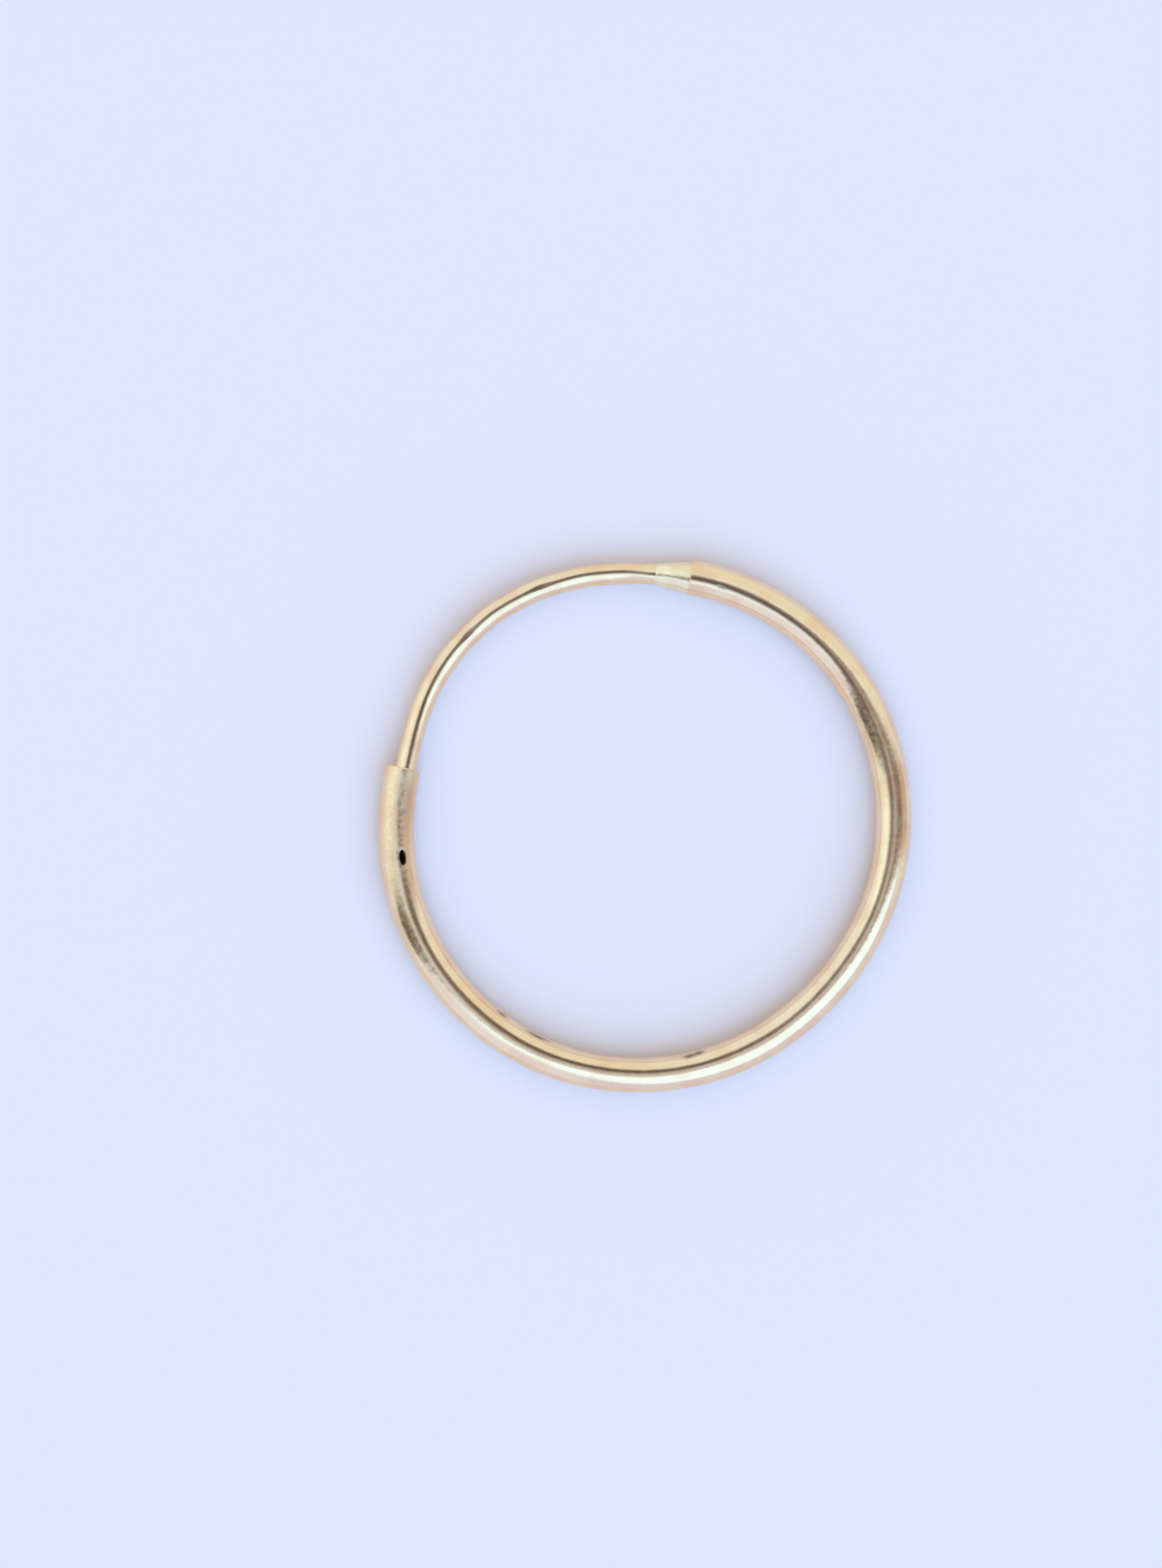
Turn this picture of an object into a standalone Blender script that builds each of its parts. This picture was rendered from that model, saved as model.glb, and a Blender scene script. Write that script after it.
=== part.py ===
"""Gold sleeper hoop: a small round earring of thin tube, closed by a thinner ear wire.

The tube is hollow and runs round about three quarters of the hoop. At one end the ear wire is
soldered to it, with a short cone of solder between the two. The wire's other end is free: it
springs into the tube's open end and stays there by its own bend. The hoop lies flat, its centre
on the Z axis, and angles run anticlockwise from +X as seen from above.
"""

import math
from typing import NamedTuple

import bmesh
import bpy
from mathutils import Matrix, Vector

# Driving sizes, in metres
HOOP_DIAMETER = 0.0150  # nominal, across the outside
WIRE_DIAMETER = 0.0006
WIRE_CLEARANCE = 0.0001  # around the ear wire in the tube's bore
TUBE_WALL = 0.0001
TUBE_DIAMETER = WIRE_DIAMETER + 2 * (WIRE_CLEARANCE + TUBE_WALL)
TUBE_RADIUS = TUBE_DIAMETER / 2
BORE_RADIUS = TUBE_RADIUS - TUBE_WALL
WIRE_RADIUS = WIRE_DIAMETER / 2
LINE_RADIUS = HOOP_DIAMETER / 2 - TUBE_RADIUS  # of the hoop's centre line

# Where the tube begins and ends
MOUTH_DEG = 166.3  # the open end, which takes the wire
JOINT_DEG = 440.0  # the soldered end, one turn past 80

# How the ear wire sits
WIRE_PLUG_LENGTH = 0.0020  # of wire inside the tube's mouth
WIRE_SEAT_SHARE = 0.6  # of the clearance, by which the wire lies inward of the bore's centre
WIRE_SEAT_RUN = 0.0032  # of wire before the mouth over which it moves inward
WIRE_TIP_LENGTH = 0.00012  # of the rounded tip
WIRE_TIP_SHARE = 0.6  # of the wire's radius left at the very tip

# The solder between tube and wire
SOLDER_LENGTH = 0.00095
SOLDER_STEP = 0.00002  # that the solder lies below the tube's outer surface
SOLDER_DEPTH = 0.0008  # of bore that the solder fills
SOLDER_OVERLAP = 0.0002  # of the solder's cone sunk into the tube's end

# The oval vent hole in the upper wall
VENT_FROM_MOUTH = 0.00255  # to the hole's middle, along the tube
VENT_LENGTH = 0.00045
VENT_WIDTH = 0.0002
VENT_LEAN_DEG = 14.0  # from straight up, towards the hoop's centre

# The dimple pressed into the upper wall, which grips the wire
DIMPLE_FROM_MOUTH = 0.0012
DIMPLE_LENGTH = 0.00030
DIMPLE_WIDTH = 0.00018
DIMPLE_DEPTH = 0.00003
DIMPLE_LEAN_DEG = 12.0

# Facets of the swept shapes
TUBE_SIDES = 16
WIRE_SIDES = 16
TUBE_STEP_DEG = 3.0
BORE_STEP_DEG = 6.0
WIRE_STEP_DEG = 3.0
CUTTER_SIDES = 16
DIMPLE_RINGS = 8
BORE_OVERRUN = 0.0003  # of the bore's cutter past the mouth
WELD_DISTANCE = 0.0000001
SHARP_ANGLE_DEG = 40.0  # between faces that stay sharp when the rest is shaded smooth


class Bend(NamedTuple):
    """Where the hand-bent centre line strays from a circle."""

    angle_deg: float
    share: float  # of LINE_RADIUS


BENDS = (
    Bend(0.0, 1.000),
    Bend(40.0, 1.022),
    Bend(80.0, 1.022),
    Bend(92.0, 1.021),
    Bend(108.0, 1.043),
    Bend(125.0, 1.055),
    Bend(145.0, 1.036),
    Bend(166.0, 1.006),
    Bend(200.0, 1.012),
    Bend(240.0, 1.015),
    Bend(280.0, 0.997),
    Bend(320.0, 0.982),
)
FULL_TURN_DEG = 360.0


class Narrowing(NamedTuple):
    """A section of the solder's cone, from the tube's radius to the wire's."""

    share_of_length: float
    share_of_way: float


SOLDER_CONE = (
    Narrowing(0.0, 0.0),
    Narrowing(0.2, 0.1),
    Narrowing(0.4, 0.27),
    Narrowing(0.6, 0.52),
    Narrowing(0.8, 0.8),
    Narrowing(0.95, 0.92),
    Narrowing(1.0, 1.0),
)

GOLD_COLOUR = (0.83, 0.62, 0.27)
SOLDER_COLOUR = (0.84, 0.74, 0.40)


def along(length):
    """The angle in degrees that a length of the centre line spans."""
    return math.degrees(length / LINE_RADIUS)


def smooth(share):
    """A soft step from 0 to 1."""
    share = min(max(share, 0.0), 1.0)
    return share * share * (3 - 2 * share)


def line_radius(angle):
    """The centre line's distance from the middle: a smooth closed curve through BENDS."""
    rows = [
        Bend(row.angle_deg + turn, row.share)
        for turn in (-FULL_TURN_DEG, 0.0, FULL_TURN_DEG)
        for row in BENDS
    ]
    angle %= FULL_TURN_DEG
    last = max(i for i, row in enumerate(rows) if row.angle_deg <= angle)
    before, start, end, after = rows[last - 1 : last + 3]
    span = end.angle_deg - start.angle_deg
    slope_start = (end.share - before.share) / (end.angle_deg - before.angle_deg)
    slope_end = (after.share - start.share) / (after.angle_deg - start.angle_deg)
    t = (angle - start.angle_deg) / span
    share = (
        (2 * t**3 - 3 * t**2 + 1) * start.share
        + (t**3 - 2 * t**2 + t) * span * slope_start
        + (3 * t**2 - 2 * t**3) * end.share
        + (t**3 - t**2) * span * slope_end
    )
    return LINE_RADIUS * share


def wire_inset(angle):
    """How far inward of the hoop's centre line the ear wire runs, growing towards the mouth."""
    start = MOUTH_DEG + FULL_TURN_DEG - along(WIRE_SEAT_RUN)
    share = smooth((angle - start) / along(WIRE_SEAT_RUN))
    return WIRE_SEAT_SHARE * WIRE_CLEARANCE * share


def at(angle, inset=0.0):
    """A point of the centre line in the hoop's plane."""
    radius = line_radius(angle) - inset
    turn = math.radians(angle)
    return Vector((radius * math.cos(turn), radius * math.sin(turn), 0.0))


def steps(start, end, step):
    """Angles from start to end, evenly spread and at most a step apart."""
    count = math.ceil((end - start) / step)
    return [start + (end - start) * i / count for i in range(count + 1)]


def tube_stations(radius, start, end, step):
    """Points and radii of a sweep of one radius along the centre line."""
    return [(at(angle), radius) for angle in steps(start, end, step)]


def wire_stations():
    """Points and radii from the solder's cone, along the ear wire, to its tip in the bore."""
    top = TUBE_RADIUS - SOLDER_STEP
    stations = [(at(JOINT_DEG - along(SOLDER_OVERLAP)), top)]
    for row in SOLDER_CONE:
        angle = JOINT_DEG + along(SOLDER_LENGTH) * row.share_of_length
        stations.append((at(angle), top + (WIRE_RADIUS - top) * row.share_of_way))
    start = JOINT_DEG + along(SOLDER_LENGTH)
    end = MOUTH_DEG + FULL_TURN_DEG + along(WIRE_PLUG_LENGTH)
    shoulder = end - along(WIRE_TIP_LENGTH)
    for angle in steps(start, shoulder, WIRE_STEP_DEG)[1:]:
        stations.append((at(angle, wire_inset(angle)), WIRE_RADIUS))
    stations.append((at(end, wire_inset(end)), WIRE_RADIUS * WIRE_TIP_SHARE))
    return stations


def middle_of(stations):
    """The middle, in plan, of the box around a sweep, so that the hoop can be centred on it."""
    low = [min(point[i] - radius for point, radius in stations) for i in (0, 1)]
    high = [max(point[i] + radius for point, radius in stations) for i in (0, 1)]
    return Vector(((low[0] + high[0]) / 2, (low[1] + high[1]) / 2, 0.0))


def swept(name, stations, sides, lift, into):
    """A closed mesh swept round along the stations, with one of its facets facing down."""
    curve = bpy.data.curves.new(name + "_line", "CURVE")
    curve.dimensions = "3D"
    curve.twist_mode = "Z_UP"
    curve.bevel_depth = 1.0
    curve.bevel_resolution = (sides - 4) // 2
    curve.use_fill_caps = True
    spline = curve.splines.new("POLY")
    spline.points.add(len(stations) - 1)
    for target, (point, radius) in zip(spline.points, stations):
        target.co = (*point, 1.0)
        target.radius = radius
        target.tilt = math.pi / sides
    holder = bpy.data.objects.new(name + "_line", curve)
    holder.location = lift
    into.objects.link(holder)
    graph = bpy.context.evaluated_depsgraph_get()
    mesh = bpy.data.meshes.new_from_object(holder.evaluated_get(graph))
    mesh.name = name
    shape = bmesh.new()
    shape.from_mesh(mesh)
    bmesh.ops.remove_doubles(shape, verts=shape.verts, dist=WELD_DISTANCE)
    bmesh.ops.recalc_face_normals(shape, faces=shape.faces)
    shape.to_mesh(mesh)
    shape.free()
    mesh.shade_smooth()
    mesh.set_sharp_from_angle(angle=math.radians(SHARP_ANGLE_DEG))
    piece = bpy.data.objects.new(name, mesh)
    piece.matrix_world = holder.matrix_world.copy()
    into.objects.link(piece)
    bpy.data.objects.remove(holder)
    return piece


def placed(name, shape, from_mouth, lean_deg, lift, into):
    """Puts a cutter, made about the bore's middle with its length along Y, at its place.

    It leans from straight up towards the hoop's centre, and stands that far from the mouth.
    """
    lean = Matrix.Rotation(-math.radians(lean_deg), 4, "Y")
    bmesh.ops.transform(shape, matrix=lean, verts=shape.verts)
    mesh = bpy.data.meshes.new(name)
    shape.to_mesh(mesh)
    shape.free()
    cutter = bpy.data.objects.new(name, mesh)
    angle = MOUTH_DEG + along(from_mouth)
    cutter.location = lift + at(angle)
    cutter.rotation_euler.z = math.radians(angle)
    into.objects.link(cutter)
    return cutter


def vent_cutter(lift, into):
    """An oval rod over the vent hole, from the bore's middle to clear of the wall."""
    shape = bmesh.new()
    bmesh.ops.create_cone(
        shape,
        cap_ends=True,
        segments=CUTTER_SIDES,
        radius1=VENT_WIDTH / 2,
        radius2=VENT_WIDTH / 2,
        depth=TUBE_DIAMETER,
        matrix=Matrix.Translation((0, 0, TUBE_RADIUS)),
    )
    bmesh.ops.scale(shape, vec=(1, VENT_LENGTH / VENT_WIDTH, 1), verts=shape.verts)
    return placed("vent_cutter", shape, VENT_FROM_MOUTH, VENT_LEAN_DEG, lift, into)


def dimple_cutter(lift, into):
    """A ball stretched to a bean, sunk into the tube's upper wall by the dimple's depth.

    A cap of height d and half width w is cut by a ball of radius (w*w + d*d) / (2*d).
    """
    half_width = DIMPLE_WIDTH / 2
    ball = (half_width**2 + DIMPLE_DEPTH**2) / (2 * DIMPLE_DEPTH)
    shape = bmesh.new()
    bmesh.ops.create_uvsphere(
        shape, u_segments=CUTTER_SIDES, v_segments=DIMPLE_RINGS, radius=ball
    )
    bmesh.ops.scale(shape, vec=(1, DIMPLE_LENGTH / DIMPLE_WIDTH, 1), verts=shape.verts)
    height = TUBE_RADIUS + ball - DIMPLE_DEPTH
    bmesh.ops.translate(shape, vec=(0, 0, height), verts=shape.verts)
    return placed("dimple_cutter", shape, DIMPLE_FROM_MOUTH, DIMPLE_LEAN_DEG, lift, into)


def combine(piece, other, operation):
    """Cuts or joins one mesh with another by an exact Boolean, which keeps both materials."""
    boolean = piece.modifiers.new(other.name, "BOOLEAN")
    boolean.operation = operation
    boolean.solver = "EXACT"
    boolean.material_mode = "TRANSFER"
    boolean.object = other
    other.hide_render = True
    other.display_type = "WIRE"


def metal(name, colour, roughness):
    """A metallic Principled material."""
    material = bpy.data.materials.new(name)
    material.use_nodes = True
    shader = material.node_tree.nodes["Principled BSDF"]
    shader.inputs["Base Color"].default_value = (*colour, 1.0)
    shader.inputs["Metallic"].default_value = 1.0
    shader.inputs["Roughness"].default_value = roughness
    return material


def main():
    for thing in list(bpy.data.objects):
        bpy.data.objects.remove(thing)
    parts = bpy.data.collections.new("sleeper_hoop")
    cutters = bpy.data.collections.new("cutters")
    bpy.context.scene.collection.children.link(parts)
    bpy.context.scene.collection.children.link(cutters)

    tube = tube_stations(TUBE_RADIUS, MOUTH_DEG, JOINT_DEG, TUBE_STEP_DEG)
    wire = wire_stations()
    lift = -middle_of(tube + wire)
    lift.z = TUBE_RADIUS * math.cos(math.pi / TUBE_SIDES)

    hoop = swept("sleeper_hoop", tube, TUBE_SIDES, lift, parts)
    hoop.data.materials.append(metal("yellow_gold", GOLD_COLOUR, 0.12))

    bore_start = MOUTH_DEG - along(BORE_OVERRUN)
    bore_end = JOINT_DEG - along(SOLDER_DEPTH)
    bore = tube_stations(BORE_RADIUS, bore_start, bore_end, BORE_STEP_DEG)
    bore_cutter = swept("bore_cutter", bore, TUBE_SIDES, lift, cutters)
    combine(hoop, bore_cutter, "DIFFERENCE")
    combine(hoop, vent_cutter(lift, cutters), "DIFFERENCE")
    combine(hoop, dimple_cutter(lift, cutters), "DIFFERENCE")

    ear_wire = swept("ear_wire", wire, WIRE_SIDES, lift, cutters)
    ear_wire.data.materials.append(metal("gold_wire", SOLDER_COLOUR, 0.15))
    combine(hoop, ear_wire, "UNION")


main()
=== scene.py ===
"""Polished gold sleeper hoop, lying flat on a pale surface under a soft studio light.

Three pieces dress the one CAD solid: the hollow tube, the collar of solder and the ear wire.
Lengths are in metres. Angles round the hoop run anticlockwise from +X as seen from above. A turn
round the tube's or the wire's own section is 0 outwards, 90 up and 180 to the hoop's middle.
"""

import logging
import math
from collections.abc import Mapping, Sequence
from dataclasses import dataclass, field
from enum import Enum
from typing import NamedTuple

import bpy
import numpy as np
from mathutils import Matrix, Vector
from numpy.typing import NDArray


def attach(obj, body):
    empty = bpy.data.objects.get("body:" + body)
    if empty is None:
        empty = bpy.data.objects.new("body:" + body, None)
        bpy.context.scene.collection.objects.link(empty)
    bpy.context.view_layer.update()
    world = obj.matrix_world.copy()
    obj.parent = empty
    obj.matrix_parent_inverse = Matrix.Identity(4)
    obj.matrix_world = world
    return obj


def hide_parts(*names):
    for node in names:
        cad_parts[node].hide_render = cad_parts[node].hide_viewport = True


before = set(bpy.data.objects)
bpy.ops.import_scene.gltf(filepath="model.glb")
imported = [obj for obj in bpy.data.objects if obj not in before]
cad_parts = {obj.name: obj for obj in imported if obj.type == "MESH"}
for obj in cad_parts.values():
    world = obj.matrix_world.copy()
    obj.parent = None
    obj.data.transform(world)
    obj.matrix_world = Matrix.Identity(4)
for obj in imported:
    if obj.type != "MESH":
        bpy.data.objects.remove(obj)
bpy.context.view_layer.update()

Floats = NDArray[np.float64]
Wholes = NDArray[np.int64]

log = logging.getLogger("sleeper_hoop")

NODE = "sleeper_hoop"
BODY = "root"
UV_NAME = "along_and_round"  # millimetres along the piece, millimetres round it
TARNISH_AND_PAINTED_SHADE = "tarnish_and_painted_shade"  # attribute: 0 polished, 1 never polished; on the spots, painted shade
WEAR = "wear"  # attribute: 0 mirror-bright, 1 rubbed dull by fingers and the ear

FULL_TURN = 360.0  # degrees
MM_PER_METRE = 1000.0
TUBE_RADIUS = 0.0005
WIRE_RADIUS = 0.0003
SOLDER_LENGTH = 0.00095  # of the cone between the tube and the ear wire
SHARP_DEG = 42.0  # between two faces, above which their edge stays sharp
TINY = 1e-9  # keeps a divisor above 0
LEAST_AHEAD = 0.001  # of a ray towards a card, so that rays away from it miss it


class Bend(NamedTuple):
    """Where the hand-bent centre line strays from a circle."""

    angle_deg: float
    share: float  # of the line's radius


class Spot(NamedTuple):
    """A dip in a surface, such as a dimple, a nick or a flat from the pliers, with its painted
    shade, or a patch of painted shade with no dip.
    """

    angle_deg: float  # round the hoop
    turn_deg: float  # round the section
    half_length: float
    half_width: float
    depth: float
    # share of painted shade on the spot, in the tarnish colour, 0 to 1
    tarnish_and_painted_shade: float


class Straight(NamedTuple):
    """A stretch of the ear wire that the pliers left straighter than the curve."""

    start_deg: float
    end_deg: float


class Wave(NamedTuple):
    """A wave in the tube's wall, wound round the section and along the hoop."""

    round_count: int  # of waves in a turn round the section
    along_count: int  # of waves in a turn round the hoop, below 0 where it winds the other way
    share: float  # of the wall's wave


class Narrowing(NamedTuple):
    """How far the solder's cone has come down from the tube to the wire."""

    share: float  # of its length
    narrowed: float  # 0 at the tube's radius, 1 at the wire's


class Wear(NamedTuple):
    """How dull the tube is at an angle round the hoop."""

    angle_deg: float
    dull: float  # 0 to 1


BENDS = (
    Bend(0.0, 1.000),
    Bend(40.0, 1.022),
    Bend(80.0, 1.022),
    Bend(92.0, 1.021),
    Bend(108.0, 1.043),
    Bend(125.0, 1.055),
    Bend(145.0, 1.036),
    Bend(166.0, 1.006),
    Bend(200.0, 1.012),
    Bend(240.0, 1.015),
    Bend(280.0, 0.997),
    Bend(320.0, 0.982),
)

TUBE_SPOTS = (
    Spot(176.1, 111.0, 0.00010, 0.00006, 0.000014, 0.25),  # dimple that grips the wire, with a little painted shade in it
    Spot(72.4, 101.0, 0.00012, 0.00007, 0.000008, 0.0),  # small ding by the joint
    Spot(232.6, 157.0, 0.00017, 0.00008, 0.000018, 0.8),  # one of four nicks inside, painted dark with shade
    Spot(242.8, 156.0, 0.00036, 0.00008, 0.000020, 0.9),
    Spot(280.8, 147.0, 0.00017, 0.00009, 0.000020, 0.95),
    Spot(283.4, 151.0, 0.00015, 0.00009, 0.000020, 0.95),
    Spot(173.0, 132.0, 0.00090, 0.00024, 0.0, 0.28),  # painted brownish reflection on the inner side by the mouth, with no dip
)

# Dull by the mouth, where fingers and the wire rub it, and a little at the right of the hoop
TUBE_WEAR = (
    Wear(166.0, 1.0),
    Wear(188.0, 0.9),
    Wear(197.0, 0.4),
    Wear(214.0, 0.2),
    Wear(232.0, 0.0),
    Wear(345.0, 0.0),
    Wear(356.0, 0.35),
    Wear(384.0, 0.35),
    Wear(396.0, 0.0),
)

WALL_WAVES = (
    Wave(2, 5, 1.0),
    Wave(3, -11, 0.6),
)

# The two flats from the pliers, where the wire's dark line swells
WIRE_SPOTS = (
    Spot(473.6, 81.0, 0.00028, 0.00013, 0.000010, 0.0),
    Spot(492.6, 80.0, 0.00024, 0.00013, 0.000012, 0.0),
)

WIRE_STRAIGHTS = (
    Straight(464.5, 474.5),
    Straight(474.5, 485.7),
    Straight(485.7, 492.3),
    Straight(492.3, 496.6),
)

SOLDER_CONE = (
    Narrowing(0.0, 0.0),
    Narrowing(0.2, 0.17),
    Narrowing(0.4, 0.36),
    Narrowing(0.6, 0.57),
    Narrowing(0.8, 0.79),
    Narrowing(0.95, 0.92),
    Narrowing(1.0, 1.0),
)


def smooth(share: Floats) -> Floats:
    """A soft step: 0 below 0, 1 above 1, and s*s*(3 - 2*s) between."""
    held = np.clip(share, 0.0, 1.0)
    return held * held * (3.0 - 2.0 * held)


def signed_turn(degrees: Floats) -> Floats:
    """The same angles between minus half a turn and half a turn."""
    half = FULL_TURN / 2.0
    return np.mod(degrees + half, FULL_TURN) - half


def linear_colour(hex_code: str) -> tuple[float, float, float, float]:
    """Turns an sRGB hex code to the linear colour that Blender's sockets take.

    A part p of 0 to 1 becomes p / 12.92 up to 0.04045, and ((p + 0.055) / 1.055)^2.4 above.

    Args:
        hex_code: six hex digits after a hash sign.

    Returns:
        Linear red, green and blue, and an alpha of 1.
    """
    parts = [int(hex_code[i : i + 2], 16) / 255.0 for i in (1, 3, 5)]
    red, green, blue = (
        part / 12.92 if part <= 0.04045 else ((part + 0.055) / 1.055) ** 2.4 for part in parts
    )
    return (red, green, blue, 1.0)


def add_node(
    tree: bpy.types.NodeTree,
    kind: str,
    inputs: Mapping[int | str, object] | None = None,
    **settings: object,
) -> bpy.types.Node:
    """Adds one node with its settings, and fills or links its inputs.

    Args:
        tree: the node tree that gets it.
        kind: Blender's name for the node's type.
        inputs: a value or an output socket for each input, by its name or place.
        settings: the node's own properties, such as its operation.

    Returns:
        The new node.
    """
    made = tree.nodes.new(kind)
    for name, value in settings.items():
        setattr(made, name, value)
    for key, value in (inputs or {}).items():
        if isinstance(value, bpy.types.NodeSocket):
            tree.links.new(value, made.inputs[key])
        else:
            made.inputs[key].default_value = value
    return made


@dataclass
class CentreLine:
    """The line that runs through the middle of the tube and the ear wire.

    Its distance from the middle is a smooth closed curve through the rows of bends, and it is
    moved so that the box around the hoop has its centre on the Z axis, as in the CAD.
    """

    radius: float = 0.0070
    height: float = TUBE_RADIUS
    tube_radius: float = TUBE_RADIUS
    wire_radius: float = WIRE_RADIUS
    mouth_deg: float = 166.3  # of the tube's open end
    joint_deg: float = 440.0  # of the tube's soldered end
    box_samples: int = 1441  # round the hoop, to find the box around it
    slope_step_deg: float = 0.05  # to either side, between which the direction is taken
    bends: tuple[Bend, ...] = BENDS
    middle: Floats = field(init=False)

    def __post_init__(self) -> None:
        """Finds the middle of the box around the tube's outer edge and the wire's."""
        self.middle = np.zeros(3)
        angles = np.linspace(self.mouth_deg, self.mouth_deg + FULL_TURN, self.box_samples)
        edge = np.where(angles < self.joint_deg, self.tube_radius, self.wire_radius)
        line = self.points(angles)[:, :2]
        low = (line - edge[:, None]).min(axis=0)
        high = (line + edge[:, None]).max(axis=0)
        self.middle = np.array([*(low + high) / 2.0, 0.0])

    def along(self, length: float) -> float:
        """The angle in degrees that a length of the line spans."""
        return math.degrees(length / self.radius)

    def distance(self, angles: Floats) -> Floats:
        """The line's distance from the middle, by a periodic cubic Hermite curve.

        Between rows 0 and 1, with t the share of the way and m the slopes there, it is
        (2t^3 - 3t^2 + 1) p0 + (t^3 - 2t^2 + t) m0 + (3t^2 - 2t^3) p1 + (t^3 - t^2) m1. Each
        slope is that from the row before to the row after.

        Args:
            angles: degrees round the hoop, of any shape.

        Returns:
            Metres from the middle, of the same shape.
        """
        rows = np.array(self.bends)
        turns = np.concatenate([rows[:, 0] - FULL_TURN, rows[:, 0], rows[:, 0] + FULL_TURN])
        shares = np.tile(rows[:, 1], 3)
        slopes = np.zeros_like(shares)
        slopes[1:-1] = (shares[2:] - shares[:-2]) / (turns[2:] - turns[:-2])
        held = np.mod(angles, FULL_TURN)
        last = np.searchsorted(turns, held, side="right") - 1
        span = turns[last + 1] - turns[last]
        t = (held - turns[last]) / span
        share = (
            (2 * t**3 - 3 * t**2 + 1) * shares[last]
            + (t**3 - 2 * t**2 + t) * span * slopes[last]
            + (3 * t**2 - 2 * t**3) * shares[last + 1]
            + (t**3 - t**2) * span * slopes[last + 1]
        )
        return self.radius * share

    def points(self, angles: Floats, inset: Floats | float = 0.0) -> Floats:
        """Points of the line: P = (d cos a, d sin a, height), moved to the box's middle.

        Args:
            angles: degrees round the hoop, the a of the formula.
            inset: how far towards the hoop's middle the points move, taken from distance d.

        Returns:
            Points, with one more axis than the angles.
        """
        out = self.distance(angles) - inset
        turns = np.radians(angles)
        flat = [out * np.cos(turns), out * np.sin(turns), np.full_like(out, self.height)]
        return np.stack(flat, axis=-1) - self.middle

    def swept(self, angles: Floats, turns: Floats, radii: Floats, inset: Floats) -> Floats:
        """Points on a round section that is carried along the line.

        P = C(a) + r (cos(t) N(a) + sin(t) Z), where C is the line's point at angle a, N the
        outward normal of the line there, t the turn round the section and r its radius.

        Args:
            angles: degrees round the hoop.
            turns: degrees round the section.
            radii: the section's radius at each point.
            inset: how far inward of the line the section's centre lies.

        Returns:
            Points, with one more axis than the arrays given.
        """
        step = self.slope_step_deg
        centre = self.points(angles, inset)
        ahead = self.points(angles + step, inset) - self.points(angles - step, inset)
        ahead /= np.linalg.norm(ahead, axis=-1, keepdims=True)
        outward = np.stack([ahead[..., 1], -ahead[..., 0], np.zeros_like(angles)], axis=-1)
        t = np.radians(turns)
        up = np.array([0.0, 0.0, 1.0])
        ring = np.cos(t)[..., None] * outward + np.sin(t)[..., None] * up
        return centre + radii[..., None] * ring


@dataclass
class Shell:
    """A closed skin of rings, each ring a row of points, with a pole at either end."""

    angles: Floats  # rings by sides, degrees round the hoop
    turns: Floats  # the same, degrees round the section
    radii: Floats  # the same, metres
    inset: Floats  # the same, metres
    tarnish_and_painted_shade: Floats  # the same, 0 to 1: tarnish in the bore, painted shade on the spots
    wear: Floats  # the same, 0 to 1

    def faces(self) -> tuple[Wholes, Wholes]:
        """Numbers the corners of the faces, with point ring * sides + side at each place.

        Returns:
            The quads by ring and side, and the triangles that close both ends at the poles.
        """
        rings, sides = self.angles.shape
        ring = np.arange(rings - 1)[:, None] * sides
        side = np.arange(sides)[None, :]
        after = (side + 1) % sides
        quads = np.stack(
            [ring + side, ring + sides + side, ring + sides + after, ring + after], axis=-1
        )
        first, last = rings * sides, rings * sides + 1
        side, after = side[0], after[0]
        end = (rings - 1) * sides
        start_fan = np.stack([np.full(sides, first), side, after], axis=-1)
        end_fan = np.stack([np.full(sides, last), end + after, end + side], axis=-1)
        return quads, np.concatenate([start_fan, end_fan])

    def points(self, line: CentreLine) -> Floats:
        """The rings' points, then the first and the last ring's centre as poles."""
        rings = line.swept(self.angles, self.turns, self.radii, self.inset)
        return np.concatenate([rings.reshape(-1, 3), [rings[0].mean(0), rings[-1].mean(0)]])

    def flat_places(self, line: CentreLine) -> Floats:
        """Lays the piece out flat: arc lengths of the hoop and of the tube's section.

        Args:
            line: the line that the rings follow.

        Returns:
            Millimetres along and round the piece, for each point and both poles.
        """
        along = np.radians(self.angles) * line.radius * MM_PER_METRE
        around = np.radians(self.turns) * line.tube_radius * MM_PER_METRE
        rings = np.stack([along, around], axis=-1)
        return np.concatenate([rings.reshape(-1, 2), [rings[0].mean(0), rings[-1].mean(0)]])


def make_piece(
    name: str,
    line: CentreLine,
    shell: Shell,
    quads: Wholes,
    triangles: Wholes,
) -> bpy.types.Object:
    """Makes the mesh object of a shell, with its UV map, its tarnish and painted shade, and its
    wear.

    A corner that lies one turn back from the others of its face, at the seam between the last
    and the first side, gets a UV one turn further.

    Args:
        name: the piece's name.
        line: the line that the shell's rings follow.
        shell: the rings.
        quads: corner numbers, four in the last axis.
        triangles: corner numbers, three in the last axis.

    Returns:
        The object, at the origin, linked to the scene.
    """
    four = quads.reshape(-1, 4)
    mesh = bpy.data.meshes.new(name)
    mesh.from_pydata(shell.points(line).tolist(), [], four.tolist() + triangles.tolist())
    mesh.update()
    places = shell.flat_places(line)
    girth = math.tau * line.tube_radius * MM_PER_METRE
    corners = [places[four].copy(), places[triangles].copy()]
    for group in corners:
        behind = group[..., 1] < group[..., 1].max(axis=1, keepdims=True) - girth / 2.0
        group[..., 1] += girth * behind
    uv = mesh.uv_layers.new(name=UV_NAME)
    uv.data.foreach_set("uv", np.concatenate([g.reshape(-1) for g in corners]))
    for layer, levels in ((TARNISH_AND_PAINTED_SHADE, shell.tarnish_and_painted_shade), (WEAR, shell.wear)):
        level = mesh.attributes.new(layer, "FLOAT", "POINT")
        ends = [levels[0, 0], levels[-1, 0]]
        level.data.foreach_set("value", np.concatenate([levels.reshape(-1), ends]))
    mesh.shade_smooth()
    mesh.set_sharp_from_angle(angle=math.radians(SHARP_DEG))
    piece = bpy.data.objects.new(name, mesh)
    bpy.context.scene.collection.objects.link(piece)
    return piece


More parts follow.
